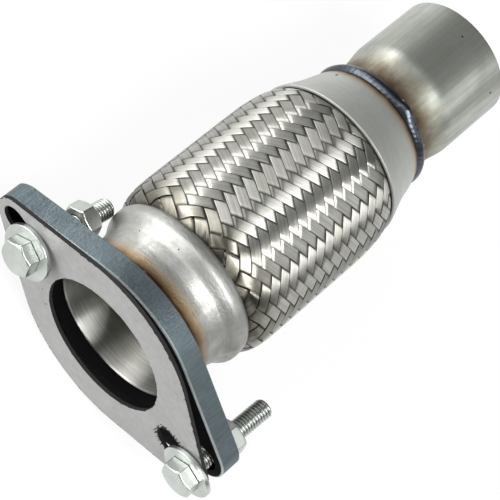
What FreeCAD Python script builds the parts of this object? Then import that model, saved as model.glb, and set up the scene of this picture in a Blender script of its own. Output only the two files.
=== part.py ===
import FreeCAD
import Part
import math
import os

# Flexible exhaust pipe with a two-bolt inlet flange and a plain outlet tube.
# Lengths in mm. X runs along the pipe to the outlet, Y along the flange, Z up. The sizes along X
# are counted from the flange's front face; the finished pieces are moved so that the origin
# is the middle of the neck's open end, where the inlet bore begins.

# fits and clearances
contact_gap = 0.05
slide_gap = 0.1

# flange plate
neck_radius = 29.3
flange_bore_radius = neck_radius + slide_gap
flange_thickness = 9.0
flange_centre_radius = neck_radius + 10.7
slot_offset = neck_radius + 18.0
slot_width = 12.0
slot_length = 23.6
flange_tip_radius = 11.0
flange_tip_offset = slot_offset + 4.2
flange_edge_break = 0.4

# gasket, lying loose and turned a little against the flange
gasket_thickness = 1.5
gasket_centre_radius = 43.0
gasket_tip_radius = 10.0
gasket_tip_offset = flange_tip_offset + 1.0
gasket_bore_radius = 27.9
gasket_roll = 3.5
gasket_lean = 2.2

# bolts, washers and nuts
bolt_radius = 4.0
bolt_length = 40.0
bolt_end_chamfer = 0.8
hex_across_flats = 13.0
head_height = 5.3
nut_height = 6.5
washer_radius = 11.0
washer_thickness = 2.0
washer_edge_break = 0.2
washer_bore_radius = bolt_radius + 0.2
nut_bore_radius = bolt_radius + slide_gap
hex_corner_radius = hex_across_flats / math.sqrt(3)
hex_turn = 12.0
hex_face_inset = 0.2
hex_bevel_angle = 30.0
# each bolt: where its axis crosses the middle of the flange, its slopes along Y and Z,
# and how far its nut stands off the flange
bolt_axes = [
    {"y": slot_offset - 6.8, "z": 0.9, "slope_y": -0.13, "slope_z": -0.18, "nut_standoff": 6.5},
    {"y": -slot_offset - 6.6, "z": -1.5, "slope_y": -0.03, "slope_z": 0.02, "nut_standoff": 0.0},
]

# inlet neck and bead
neck_wall = 1.5
neck_start = 4.5
flare_start = 22.0
flare_radius = 12.6
flare_end = 30.4
bead_radius = neck_radius + 4.1
bead_crown = 32.8
bead_end = 36.5
bead_rim_radius = bead_radius - 0.8
bead_rim_inner = bead_rim_radius - 1.2
bead_pocket_start = 31.5
bead_pocket_crown = 33.8
inlet_weld_leg = 1.8
inlet_weld_fullness = 0.6

# woven sleeve; its profile is a list of (x, height above the neck's outside)
strips_each_way = 26
weave_rings = 32
weave_start = 36.8
weave_end = 114.3
weave_phase = -0.6
end_spread = 0.15
end_spread_rings = 4.0
sleeve_profile = [
    (36.8, 2.6), (38.5, 5.5), (41.0, 6.4), (45.0, 7.1), (51.0, 7.3), (90.0, 7.2),
    (98.5, 7.1), (104.0, 6.6), (108.5, 5.9), (112.4, 4.7), (114.3, 2.9),
]
groove_depth = 0.7
sleeve_wall = 1.7
strip_end_drop = 0.25
strip_side_bevel = 0.10
strip_end_bevel = 0.14
gap_size = 0.2
gap_rings = (2, 3, weave_rings - 3, weave_rings - 2)
tuck_start = 32.0
tuck_outer = neck_radius + 1.9
tuck_inner = neck_radius + 0.8
tail_end = 121.5
tail_outer = neck_radius - 0.2
tail_inner = neck_radius - 1.5

# corrugated pipe
bellows_wall = 0.5
bellows_crest = neck_radius + 4.8
bellows_root = neck_radius - 2.7
bellows_pitch = 4.5
bellows_first_crest = 47.0
bellows_crests = 13
cuff_start = 30.4
cuff_radius = neck_radius + 0.4
tail_cuff_radius = neck_radius - 2.0
tail_cuff_end = 128.0

# lining tube of interlocked turns; the ridge outside and the seam inside each turn are lists of
# (distance from the turn's middle, height)
liner_inner = neck_radius - 4.7
liner_outer = neck_radius - 2.9
liner_step = 0.7
liner_groove = 0.5
liner_ridge = [(-2.0, 0.0), (-1.5, liner_step), (1.0, liner_step), (1.5, 0.0)]
liner_seam = [(-1.2, 0.0), (-0.8, liner_groove), (0.2, liner_groove), (0.6, 0.0)]
liner_pitch = 6.0
liner_wall = 1.2
mouth_start = 30.8
mouth_end = 34.0
mouth_narrow = 38.0
liner_turns = 14
liner_tail_step = 1.0
liner_end = 128.0

# outlet tube, and the collar and weld that reach down to it
tube_start = 138.5
tube_neck_radius = 24.2
tube_neck_end = 147.5
tube_cone_end = 157.5
tube_radius = 25.4
tube_wall = 1.6
tube_end = 188.5
tube_edge_break = 0.3
collar_wall = 1.2
collar_profile = [
    (114.2, neck_radius + 4.5), (119.5, neck_radius + 2.7), (124.5, neck_radius + 0.8),
    (130.5, neck_radius - 0.8), (134.5, tube_neck_radius + 3.1), (137.0, tube_neck_radius + 1.8),
    (138.3, tube_neck_radius + 0.8),
]
weld_start = 136.2
weld_start_radius = tube_neck_radius + 1.4
weld_crown = 138.9
weld_height = 1.9
weld_end = 141.0
weld_sink = 0.1
weld_lap_angle = 150.0
weld_lap_radius = 2.6
weld_lap_rise = 0.5


def V(x, y, z):
    return FreeCAD.Vector(x, y, z)


def ray(angle, radius, x=0.0):
    """point at this radius from the X axis, angle in degrees from +Y towards +Z"""
    turn = math.radians(angle)
    return V(x, radius * math.cos(turn), radius * math.sin(turn))


def spin(pieces):
    """solid of revolution about X; each piece of the outline is a list of (x, radius):
    two points make a line, three an arc, more a smooth curve"""
    edges = []
    for piece in pieces:
        points = [V(x, 0, radius) for x, radius in piece]
        if len(points) == 2:
            edges.append(Part.makeLine(points[0], points[1]))
        elif len(points) == 3:
            edges.append(Part.Arc(points[0], points[1], points[2]).toShape())
        else:
            curve = Part.BSplineCurve()
            curve.interpolate(points)
            edges.append(curve.toShape())
    face = Part.Face(Part.Wire(edges))
    return face.revolve(V(0, 0, 0), V(1, 0, 0), 360)


def chain(points):
    """the lines that join these points in turn"""
    return [[points[k], points[k + 1]] for k in range(len(points) - 1)]


def between(table, x):
    """straight-line value at x in a list of (x, value)"""
    for (x0, v0), (x1, v1) in zip(table, table[1:]):
        if x <= x1:
            return v0 + (v1 - v0) * (x - x0) / (x1 - x0)
    return table[-1][1]


def inward(points, depth):
    """the same curve of (x, radius) moved towards the axis by this depth along its normal"""
    moved = []
    for k, (x, radius) in enumerate(points):
        x0, r0 = points[max(k - 1, 0)]
        x1, r1 = points[min(k + 1, len(points) - 1)]
        length = math.hypot(x1 - x0, r1 - r0)
        moved.append((x + depth * (r1 - r0) / length, radius - depth * (x1 - x0) / length))
    return moved


def diamond_wire(centre_radius, tip_radius, tip_offset):
    """round middle and two round tips joined by their common tangents"""
    lean = math.degrees(math.acos((centre_radius - tip_radius) / tip_offset))
    edges = []
    for side in (0, 180):
        tip = ray(side, tip_offset)
        ends = [tip + ray(side - lean, tip_radius), tip + ray(side + lean, tip_radius)]
        edges.append(Part.Arc(ends[0], tip + ray(side, tip_radius), ends[1]).toShape())
        crown = [ray(side + lean, centre_radius), ray(side + 180 - lean, centre_radius)]
        edges.append(Part.makeLine(ends[1], crown[0]))
        edges.append(Part.Arc(crown[0], ray(side + 90, centre_radius), crown[1]).toShape())
        next_tip = ray(side + 180, tip_offset) + ray(side + 180 - lean, tip_radius)
        edges.append(Part.makeLine(crown[1], next_tip))
    return Part.Wire(edges)


def slot_wire(side):
    """round-ended slot along Y on this side of the bore"""
    middle = side * slot_offset
    reach = (slot_length - slot_width) / 2
    half = slot_width / 2
    near, far = middle - reach, middle + reach
    return Part.Wire([
        Part.makeLine(V(0, near, -half), V(0, far, -half)),
        Part.Arc(V(0, far, -half), V(0, far + half, 0), V(0, far, half)).toShape(),
        Part.makeLine(V(0, far, half), V(0, near, half)),
        Part.Arc(V(0, near, half), V(0, near - half, 0), V(0, near, -half)).toShape(),
    ])


def plate(outline, bore_radius, thickness):
    """flat plate from x = 0 with a bore and two slots"""
    bore = Part.Wire(Part.makeCircle(bore_radius, V(0, 0, 0), V(1, 0, 0)))
    body = Part.Face(outline).extrude(V(thickness, 0, 0))
    for hole in (bore, slot_wire(1), slot_wire(-1)):
        body = body.cut(Part.Face(hole).extrude(V(thickness, 0, 0)))
    return body


def make_flange():
    outline = diamond_wire(flange_centre_radius, flange_tip_radius, flange_tip_offset)
    body = plate(outline, flange_bore_radius, flange_thickness)
    rim = []
    for edge in body.Edges:
        middle = edge.valueAt((edge.FirstParameter + edge.LastParameter) / 2)
        flat = edge.BoundBox.XLength < contact_gap
        reach = outline.distToShape(Part.Vertex(V(0, middle.y, middle.z)))[0]
        if flat and reach < contact_gap:
            rim.append(edge)
    return body.makeChamfer(flange_edge_break, rim)


def gasket_normal():
    lean = math.radians(gasket_lean)
    return V(math.cos(lean), -math.sin(lean), 0)


def gasket_shift():
    """the gasket's +Y tip just meets the flange's front face"""
    reach = gasket_tip_offset * math.cos(math.radians(gasket_roll)) + gasket_tip_radius
    return -reach * math.sin(math.radians(gasket_lean)) - contact_gap


def make_gasket():
    outline = diamond_wire(gasket_centre_radius, gasket_tip_radius, gasket_tip_offset)
    body = plate(outline, gasket_bore_radius, gasket_thickness)
    body.translate(V(-gasket_thickness, 0, 0))
    body.rotate(V(0, 0, 0), V(1, 0, 0), gasket_roll)
    body.rotate(V(0, 0, 0), V(0, 0, 1), -gasket_lean)
    body.translate(V(gasket_shift(), 0, 0))
    return body


def bolt_line(axis):
    """a point of the bolt's axis and its direction"""
    start = V(flange_thickness / 2, axis["y"], axis["z"])
    direction = V(1, axis["slope_y"], axis["slope_z"])
    direction.normalize()
    return start, direction


def seat_distance(axis, face_point, face_normal, rim_radius, side):
    """distance along the axis at which a square-on disc just meets a face,
    side -1 in front of it and +1 behind it"""
    start, direction = bolt_line(axis)
    facing = direction.dot(face_normal)
    reach = rim_radius * math.sqrt(1 - facing * facing) + contact_gap
    return ((face_point - start).dot(face_normal) + side * reach) / facing


def washer_seat(axis):
    """where the washer's far face crosses the axis"""
    front = V(gasket_shift(), 0, 0) - gasket_normal() * gasket_thickness
    return seat_distance(axis, front, gasket_normal(), washer_radius, -1)


def nut_seat(axis):
    """where the nut's near face crosses the axis"""
    back = V(flange_thickness, 0, 0)
    seat = seat_distance(axis, back, V(1, 0, 0), hex_corner_radius, 1)
    return seat + axis["nut_standoff"]


def on_axis(body, axis, distance):
    """carry a body built along X from x = 0 to this distance along the bolt's axis"""
    start, direction = bolt_line(axis)
    body.Placement = FreeCAD.Placement(
        start + direction * distance, FreeCAD.Rotation(V(1, 0, 0), direction)
    )
    return body


def hex_prism(height, bevel_front, bevel_back):
    """hexagon along X with its corners turned down to a cone at the bevelled ends"""
    corners = [ray(60 * k + hex_turn, hex_corner_radius) for k in range(7)]
    prism = Part.Face(Part.makePolygon(corners)).extrude(V(height, 0, 0))
    flat = hex_across_flats / 2 - hex_face_inset
    reach = hex_corner_radius + slide_gap
    drop = (reach - flat) * math.tan(math.radians(hex_bevel_angle))
    outline = [(0, 0)]
    outline += [(0, flat), (drop, reach)] if bevel_front else [(0, reach)]
    outline += [(height - drop, reach), (height, flat)] if bevel_back else [(height, reach)]
    outline += [(height, 0), (0, 0)]
    return prism.common(spin(chain(outline)))


def make_bolt(axis):
    head = hex_prism(head_height, True, False)
    tip = head_height + bolt_length
    shank = spin(chain([
        (0, 0), (0, bolt_radius), (tip - bolt_end_chamfer, bolt_radius),
        (tip, bolt_radius - bolt_end_chamfer), (tip, 0), (0, 0),
    ]))
    body = head.fuse(shank).removeSplitter()
    return on_axis(body, axis, washer_seat(axis) - washer_thickness - head_height)


def make_washer(axis):
    disc = Part.makeCylinder(washer_radius, washer_thickness, V(0, 0, 0), V(1, 0, 0))
    hole = Part.makeCylinder(washer_bore_radius, washer_thickness, V(0, 0, 0), V(1, 0, 0))
    rims = [e for e in disc.Edges if e.BoundBox.XLength < contact_gap]
    disc = disc.makeChamfer(washer_edge_break, rims)
    return on_axis(disc.cut(hole), axis, washer_seat(axis) - washer_thickness)


def make_nut(axis):
    body = hex_prism(nut_height, True, True)
    hole = Part.makeCylinder(nut_bore_radius, nut_height, V(0, 0, 0), V(1, 0, 0))
    return on_axis(body.cut(hole), axis, nut_seat(axis))


def flare_point(x, radius):
    """point of the neck's flare, an arc that leaves the straight neck without a kink"""
    run = x - flare_start
    return (x, neck_radius + flare_radius - math.sqrt(radius * radius - run * run))


def make_inlet_cap():
    inner = neck_radius - neck_wall
    offset_radius = flare_radius + neck_wall
    half = (flare_start + flare_end) / 2
    crest = flare_point(flare_end, flare_radius)
    floor = flare_point(flare_end, offset_radius)
    pocket = (bead_pocket_start, bead_radius - neck_wall - slide_gap)
    pocket_crown = (bead_pocket_crown, bead_radius - neck_wall)
    return spin([
        [(neck_start, neck_radius), (flare_start, neck_radius)],
        [(flare_start, neck_radius), flare_point(half, flare_radius), crest],
        [crest, (bead_crown, bead_radius), (bead_end, bead_rim_radius)],
        [(bead_end, bead_rim_radius), (bead_end, bead_rim_inner)],
        [(bead_end, bead_rim_inner), pocket_crown, pocket],
        [pocket, floor],
        [floor, flare_point(half, offset_radius), (flare_start, inner)],
        [(flare_start, inner), (neck_start, inner)],
        [(neck_start, inner), (neck_start, neck_radius)],
    ])


def make_inlet_weld():
    base = (flange_thickness, neck_radius + inlet_weld_leg)
    toe = (flange_thickness + inlet_weld_leg, neck_radius)
    root = (flange_thickness, neck_radius)
    rise = inlet_weld_fullness * inlet_weld_leg
    bulge = (flange_thickness + rise, neck_radius + rise)
    return spin([[root, base], [base, bulge, toe], [toe, root]])


def ring_positions():
    """x of every ring of crossings, the first and last ones a little farther apart"""
    last = weave_rings - 1
    steps = [
        1 + end_spread * (math.exp(-k / end_spread_rings) + math.exp((k - last) / end_spread_rings))
        for k in range(weave_rings)
    ]
    scale = (weave_end - weave_start) / sum(steps)
    places = [weave_start]
    for step in steps:
        places.append(places[-1] + step * scale)
    return places


def make_outer_braid():
    """wall of the woven sleeve. Two families of strips cross at an angle; each strip runs over
    two others and then under two. The surface is laid out on rings of crossing points, u along
    the pipe and v round it, and the top strip of a crossing follows from v alone."""
    rings = list(enumerate(ring_positions()))
    around = 2 * strips_each_way
    half_turn = 360.0 / around
    points = []
    index = {}
    outer_faces = []
    inner_faces = []

    def radius(u, level):
        if u < 0:
            return tuck_inner if level == "inner" else tuck_outer
        if u > weave_rings:
            return tail_inner if level == "inner" else tail_outer
        ridge = neck_radius + between(sleeve_profile, between(rings, u))
        drop = {"inner": sleeve_wall, "groove": groove_depth, "end": strip_end_drop, "top": 0.0}
        return ridge - drop[level]

    def vertex(u, v, level):
        key = (round(u, 4), round(v % around, 4), level)
        if key not in index:
            if u < 0:
                x = tuck_start
            elif u > weave_rings:
                x = tail_end
            else:
                x = between(rings, u)
            index[key] = len(points)
            points.append(ray(weave_phase + v * half_turn, radius(u, level), x))
        return index[key]

    def boundary(corners):
        """outline of a visible stretch of strip, with the gaps cut into its corners;
        each entry is (u, v, number of the corner it belongs to)"""
        outline = []
        count = len(corners)
        for k, (u, v) in enumerate(corners):
            if u not in gap_rings:
                outline.append((u, v, k))
                continue
            pu, pv = corners[k - 1]
            nu, nv = corners[(k + 1) % count]
            outline.append((u + gap_size * (pu - u), v + gap_size * (pv - v), k))
            straight = (pu - u, pv - v) == (u - nu, v - nv)
            if straight:
                outline.append((u, v, k))
            outline.append((u + gap_size * (nu - u), v + gap_size * (nv - v), k))
        return outline

    def add_stretch(u, v, lean, pair):
        """one visible stretch of strip starting at the crossing centre (u, v)"""
        length = 1.5 if pair else 0.5

        def at(along, across):
            return (u + along + across, v + lean * (along - across))

        near = -0.5 + strip_end_bevel
        far = length - strip_end_bevel
        side = 0.5 - strip_side_bevel
        if pair:
            corners = [(-0.5, -0.5), (0.5, -0.5), (1.5, -0.5), (1.5, 0.5), (0.5, 0.5), (-0.5, 0.5)]
            tops = [(near, -side), (0.5, -side), (far, -side), (far, side), (0.5, side), (near, side)]
            levels = ["end", "top", "end", "end", "top", "end"]
        else:
            corners = [(-0.5, -0.5), (0.5, -0.5), (0.5, 0.5), (-0.5, 0.5)]
            tops = [(near, -side), (far, -side), (far, side), (near, side)]
            levels = ["end"] * 4
        corners = [tuple(round(value) for value in at(*c)) for c in corners]
        tops = [vertex(*at(*t), level) for t, level in zip(tops, levels)]
        outline = boundary(corners)
        rim = [vertex(a, b, "groove") for a, b, k in outline]
        count = len(outline)
        for k in range(count):
            n = (k + 1) % count
            here, there = tops[outline[k][2]], tops[outline[n][2]]
            outer_faces.append((rim[k], rim[n], there))
            if here != there:
                outer_faces.append((rim[k], there, here))
        if pair:
            outer_faces.extend([
                (tops[0], tops[1], tops[4]), (tops[0], tops[4], tops[5]),
                (tops[1], tops[2], tops[3]), (tops[1], tops[3], tops[4]),
            ])
        else:
            outer_faces.extend([(tops[0], tops[1], tops[2]), (tops[0], tops[2], tops[3])])
        deep = [vertex(a, b, "inner") for a, b, k in outline]
        first = next(k for k in range(count) if outline[k][2] == (1 if pair else 0))
        if pair and corners[1][0] in gap_rings:
            first += 1
        fan = deep[first:] + deep[:first]
        for k in range(1, count - 1):
            inner_faces.append((fan[0], fan[k], fan[k + 1]))

    for u in range(1, weave_rings):
        for v in range((u + 1) % 2, around, 2):
            kind = v % 4
            lean = -1 if kind in (0, 1) else 1
            starts_pair = kind in (1, 2)
            if starts_pair:
                add_stretch(u, v, lean, u + 1 < weave_rings)
            elif u == 1:
                add_stretch(u, v, lean, False)

    def add_flat(corner_list):
        for level, faces in (("groove", outer_faces), ("inner", inner_faces)):
            faces.append(tuple(vertex(a, b, level) for a, b in corner_list))

    for v in range(0, around, 2):
        # half crossings and the plain tucked ends
        add_flat([(0, v), (1, v + 1), (0, v + 2)])
        add_flat([(0, v), (0, v + 2), (-1, v + 2)])
        add_flat([(0, v), (-1, v + 2), (-1, v)])
        w = v + weave_rings % 2
        add_flat([(weave_rings, w), (weave_rings, w + 2), (weave_rings - 1, w + 1)])
        add_flat([(weave_rings, w), (weave_rings + 1, w), (weave_rings + 1, w + 2)])
        add_flat([(weave_rings, w), (weave_rings + 1, w + 2), (weave_rings, w + 2)])

    def facing(triangle):
        a, b, c = (points[k] for k in triangle)
        middle = (a + b + c) * (1.0 / 3)
        return (b - a).cross(c - a).dot(V(0, middle.y, middle.z))

    faces = []
    for wanted, group in ((1, outer_faces), (-1, inner_faces)):
        for triangle in group:
            flip = facing(triangle) * wanted < 0
            faces.append(tuple(reversed(triangle)) if flip else triangle)

    # walls of the gaps and the two ends join the outer to the inner surface
    names = {number: key for key, number in index.items()}
    edges = set()
    for a, b, c in faces:
        edges.update([(a, b), (b, c), (c, a)])
    for a, b in sorted(edges):
        if (b, a) in edges or names[a][2] != "groove":
            continue
        deep_a = index[(names[a][0], names[a][1], "inner")]
        deep_b = index[(names[b][0], names[b][1], "inner")]
        faces.append((b, a, deep_a))
        faces.append((b, deep_a, deep_b))
    shape = Part.Shape()
    shape.makeShapeFromMesh((points, faces), 0.001)
    return Part.Solid(shape.Shells[0])


def make_bellows():
    """thin pipe with round crests and roots and straight flanks between them"""
    bend = bellows_pitch / 4
    half = bellows_wall / 2
    crest_mid = bellows_crest - half
    root_mid = bellows_root + half
    start_edge = bellows_first_crest - bend
    end_edge = bellows_first_crest + (bellows_crests - 1) * bellows_pitch + bend

    def surface(side):
        """outer surface for side +1, inner for side -1"""
        low = cuff_radius if side > 0 else cuff_radius - bellows_wall
        tail = tail_cuff_radius if side > 0 else tail_cuff_radius - bellows_wall
        first = start_edge - side * half
        last = end_edge + side * half
        crest_bend = bend + side * half
        root_bend = bend - side * half
        crest_hub = crest_mid - bend
        root_hub = root_mid + bend
        pieces = chain([(cuff_start, low), (first, low), (first, crest_hub)])
        for k in range(bellows_crests):
            x = bellows_first_crest + k * bellows_pitch
            crest = (x, crest_hub + crest_bend)
            pieces.append([(x - crest_bend, crest_hub), crest, (x + crest_bend, crest_hub)])
            if k == bellows_crests - 1:
                break
            middle = x + bellows_pitch / 2
            down = (middle - root_bend, root_hub)
            up = (middle + root_bend, root_hub)
            pieces.append([(x + crest_bend, crest_hub), down])
            pieces.append([down, (middle, root_hub - root_bend), up])
            pieces.append([up, (x + bellows_pitch - crest_bend, crest_hub)])
        pieces += chain([(last, crest_hub), (last, tail), (tail_cuff_end, tail)])
        return pieces

    outer = surface(1)
    inner = surface(-1)
    closing = chain([(tail_cuff_end, tail_cuff_radius), (tail_cuff_end, tail_cuff_radius - bellows_wall)])
    closing += chain([(cuff_start, cuff_radius - bellows_wall), (cuff_start, cuff_radius)])
    return spin(outer + closing[:1] + [piece[::-1] for piece in reversed(inner)] + closing[1:])


def make_inner_liner():
    """stepped turns with a flared mouth in front and a plain cuff behind"""
    mouth = cuff_radius - bellows_wall - slide_gap
    tail = tail_cuff_radius - bellows_wall - slide_gap
    low = liner_outer - liner_step
    outer = [(mouth_start, mouth), (mouth_end, mouth), (mouth_narrow, low)]
    inner = [(mouth_start, mouth - liner_wall), (mouth_end, mouth - liner_wall), (mouth_narrow, liner_inner)]
    for k in range(liner_turns):
        x = mouth_narrow + (k + 0.5) * liner_pitch
        outer += [(x + run, low + height) for run, height in liner_ridge]
        inner += [(x + run, liner_inner + height) for run, height in liner_seam]
    step_start = mouth_narrow + liner_turns * liner_pitch + liner_tail_step
    step_end = step_start + liner_tail_step
    outer += [(step_start, low), (step_end, tail), (liner_end, tail)]
    inner += [(step_start, liner_inner), (step_end, tail - liner_wall), (liner_end, tail - liner_wall)]
    loop = outer + inner[::-1]
    return spin(chain(loop + loop[:1]))


def make_outlet_collar():
    inner = inward(collar_profile, collar_wall)
    return spin([
        collar_profile,
        [collar_profile[-1], inner[-1]],
        inner[::-1],
        [inner[0], collar_profile[0]],
    ])


def make_outlet_tube():
    bore = tube_radius - tube_wall
    neck_bore = tube_neck_radius - tube_wall
    edge = tube_edge_break
    loop = [
        (tube_start, tube_neck_radius), (tube_neck_end, tube_neck_radius), (tube_cone_end, tube_radius),
        (tube_end - edge, tube_radius), (tube_end, tube_radius - edge), (tube_end, bore),
        (tube_cone_end, bore), (tube_neck_end, neck_bore), (tube_start, neck_bore),
    ]
    return spin(chain(loop + loop[:1]))


def make_outlet_weld(collar, tube):
    """bead over the joint, with a raised lap where it starts and stops"""
    left = (weld_start, weld_start_radius)
    crown = (weld_crown, tube_neck_radius + weld_height)
    right = (weld_end, tube_neck_radius - weld_sink)
    root = (tube_start, tube_neck_radius - tube_wall / 2)
    bead = spin([[left, crown, right], [right, root], [root, left]])
    lap_middle = tube_neck_radius + weld_height + weld_lap_rise - weld_lap_radius
    lap = Part.makeSphere(weld_lap_radius, ray(weld_lap_angle, lap_middle, weld_crown))
    bead = bead.fuse(lap).cut(collar).cut(tube)
    return max(bead.Solids, key=lambda solid: solid.Volume)


def build():
    parts = {
        "inlet_flange": make_flange(),
        "gasket": make_gasket(),
        "inlet_cap": make_inlet_cap(),
        "inlet_weld": make_inlet_weld(),
        "bellows": make_bellows(),
        "inner_liner": make_inner_liner(),
        "outer_braid": make_outer_braid(),
        "outlet_collar": make_outlet_collar(),
        "outlet_tube": make_outlet_tube(),
    }
    parts["outlet_weld"] = make_outlet_weld(parts["outlet_collar"], parts["outlet_tube"])
    for number, axis in enumerate(bolt_axes, start=1):
        parts["flange_bolt_%d" % number] = make_bolt(axis)
        parts["flange_washer_%d" % number] = make_washer(axis)
        parts["flange_nut_%d" % number] = make_nut(axis)
    return parts


os.makedirs("parts", exist_ok=True)
for name, shape in build().items():
    shape.translate(V(-neck_start, 0, 0))
    shape.exportStep("parts/" + name + ".step")
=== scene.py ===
import math
import bpy
import numpy as np
from mathutils import Matrix, Vector


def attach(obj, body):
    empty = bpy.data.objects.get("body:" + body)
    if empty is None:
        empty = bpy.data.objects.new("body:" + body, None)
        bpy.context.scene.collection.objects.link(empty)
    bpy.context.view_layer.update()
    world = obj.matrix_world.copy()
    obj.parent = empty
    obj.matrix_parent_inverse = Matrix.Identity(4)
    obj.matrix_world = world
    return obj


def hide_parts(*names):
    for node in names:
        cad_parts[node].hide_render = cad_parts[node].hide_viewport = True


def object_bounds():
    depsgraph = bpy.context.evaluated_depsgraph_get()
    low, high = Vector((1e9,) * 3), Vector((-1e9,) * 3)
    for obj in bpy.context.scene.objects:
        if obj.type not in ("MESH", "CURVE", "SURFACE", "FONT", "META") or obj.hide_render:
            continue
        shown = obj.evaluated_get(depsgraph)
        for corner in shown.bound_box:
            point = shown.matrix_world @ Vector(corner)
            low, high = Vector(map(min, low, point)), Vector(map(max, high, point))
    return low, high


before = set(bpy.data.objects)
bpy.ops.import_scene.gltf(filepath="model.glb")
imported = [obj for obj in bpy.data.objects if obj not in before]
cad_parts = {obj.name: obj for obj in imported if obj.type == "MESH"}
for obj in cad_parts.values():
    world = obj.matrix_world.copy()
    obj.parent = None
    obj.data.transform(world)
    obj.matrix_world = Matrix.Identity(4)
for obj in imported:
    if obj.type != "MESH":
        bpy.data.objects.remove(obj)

cad_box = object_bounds()

# Flexible exhaust pipe with a woven sleeve. Lengths are in mm and angles in degrees, from +Y
# towards +Z. Places along X are counted from the flange's front face, and NECK_START is taken off
# at the end. A profile lists (place along X, radius), or the height over the neck where it says so.
MM = 0.001
NECK_START = 4.5
NECK_RADIUS = 29.3
SHORTEST_RUN = 0.03

# flange and gasket: a middle circle and two tip circles joined by tangents, with two slots
FLANGE_BACK = 9.0
FLANGE_OUTLINE = {"Middle": 40.0 * MM, "Tip": 11.0 * MM, "Offset": 51.5 * MM}
GASKET_OUTLINE = {"Middle": 43.0 * MM, "Tip": 10.0 * MM, "Offset": 52.5 * MM}
GASKET_BORE = 27.9
GASKET_TURN = 3.5
GASKET_LEAN = 2.2
SLOT_MIDDLE = 47.3
SLOT_HALF = 6.0
SLOT_REACH = 5.8

# inlet cap, as heights over the neck, and the fillet weld between it and the flange
CAP_WALL = 1.5
CAP_PROFILE = [
    (4.5, 0.0), (22.0, 0.0), (27.0, 1.0), (30.4, 3.4), (31.6, 4.0), (33.4, 4.15), (35.4, 3.9),
    (36.5, 3.3), (36.5, 2.3), (33.8, 2.6), (31.5, 2.5), (30.0, 1.2), (27.0, -0.5),
    (22.0, -CAP_WALL), (4.5, -CAP_WALL),
]
CAP_END = 36.5
CAP_DENT = 0.16
CAP_SEGMENTS = 216
FILLET_LEG = 1.8
FILLET_SEGMENTS = 400
FILLET_RIPPLES = 80
TACK_ANGLE = 68
TACK_WIDTH = 5.0
TACK_HEIGHT = 2.2
TACK_STRETCH = 1.7

# woven sleeve, as heights over the neck: strips, the rings of crossing points, and the wires
STRIPS_EACH_WAY = 26
STRIPS_A_PIECE = 13
WEAVE_RINGS = 32
WEAVE_START = 36.8
WEAVE_END = 114.3
WEAVE_PHASE = -0.6
END_SPREAD = 0.15
END_SPREAD_RINGS = 4.0
SLEEVE_PROFILE = [
    (30.0, 2.0), (33.5, 2.0), (36.8, 2.5), (38.5, 5.3), (41.0, 6.4), (45.0, 7.1), (51.0, 7.3),
    (90.0, 7.2), (98.5, 7.1), (104.0, 6.6), (108.5, 5.9), (112.4, 4.6), (114.3, 2.8), (118.0, 1.2),
    (122.0, 0.2),
]
SLEEVE_SMOOTHING = 1.2
SLEEVE_SHOWS = (38.0, 112.4)
STRIP_WIRES = 8
STRIP_STEPS = 160
STRIP_CROWD = 0.45
STRIP_TUCK = 1.7
STRIP_WIDTH = 0.965
STRIP_RISE = 0.28
STRIP_DEPTH = 0.48
STRIP_BACK = 0.22
STRIP_SKEW = 0.53
STRIP_EDGE_FALL = 0.03
WIRE_SHOULDERS = (0.21, 0.79)
WIRE_RELIEF = 0.035

# collar, outlet weld and tube
COLLAR_PROFILE = [
    (114.2, 33.9), (116.0, 33.35), (119.5, 32.0), (124.5, 30.1), (130.5, 28.5), (134.5, 27.3),
    (137.0, 26.0), (138.3, 25.0),
]
COLLAR_WALL = 1.2
COLLAR_SEGMENTS = 216
BEAD_PROFILE = [
    (135.8, 26.2), (137.0, 27.1), (138.9, 27.4), (140.8, 26.4), (142.2, 23.5), (138.9, 23.1),
]
BEAD_SEGMENTS = 450
BEAD_RIPPLES = 75
BEAD_CREST = 138.8
LAP_PLACE = 139.4
LAP_ANGLE = 96
LAP_HEIGHT = 1.3
SWELL_ANGLE = 70
SWELL_HEIGHT = 0.6
TUBE_START = 138.5
TUBE_NECK = 23.6
CONE_START = 148.0
CONE_END = 156.8
TUBE_RADIUS = 25.4
TUBE_END = 188.5
TUBE_WALL = 1.6
TUBE_SEGMENTS = 240
TUBE_LINES = 97

# lining: turns that step outwards, between a flared mouth and a plain cuff
LINING_OUTSIDE = NECK_RADIUS - 3.6
LINING_INSIDE = NECK_RADIUS - 4.7
LINING_START = 38.0
LINING_PITCH = 6.0
LINING_TURNS = 14
LINING_SEGMENTS = 108

# bolts: where each axis crosses the middle of the flange, its slopes along Y and Z, and how far
# along it the washer and the nut are seated
BOLTS = [
    {"place": (4.5, 40.5, 0.9), "slope": (-0.13, -0.18), "washer": -9.286, "nut": 12.827},
    {"place": (4.5, -53.9, -1.5), "slope": (-0.03, 0.02), "washer": -10.801, "nut": 4.824},
]
BOLT_RADIUS = 4.0
BOLT_LENGTH = 40.0
THREAD_PITCH = 1.25
THREAD_DEPTH = 0.6
HEX_HALF = 6.5
HEX_TURN = 12.0
HEX_BEVEL = 0.25
HEX_ROUNDING = 0.35
BEVEL_SLOPE = math.tan(math.radians(30))
HEAD_HEIGHT = 5.3
HEAD_EDGE = 0.25
HEAD_ROWS = 22
NUT_HEIGHT = 6.5
NUT_BORE = 4.1
NUT_RIM = 9.0
WASHER_RADIUS = 11.0
WASHER_THICKNESS = 2.0
WASHER_BORE = 4.2
BOLT_ANGLES = np.radians(HEX_TURN + np.arange(0, 360, 3))[None, :]

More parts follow.
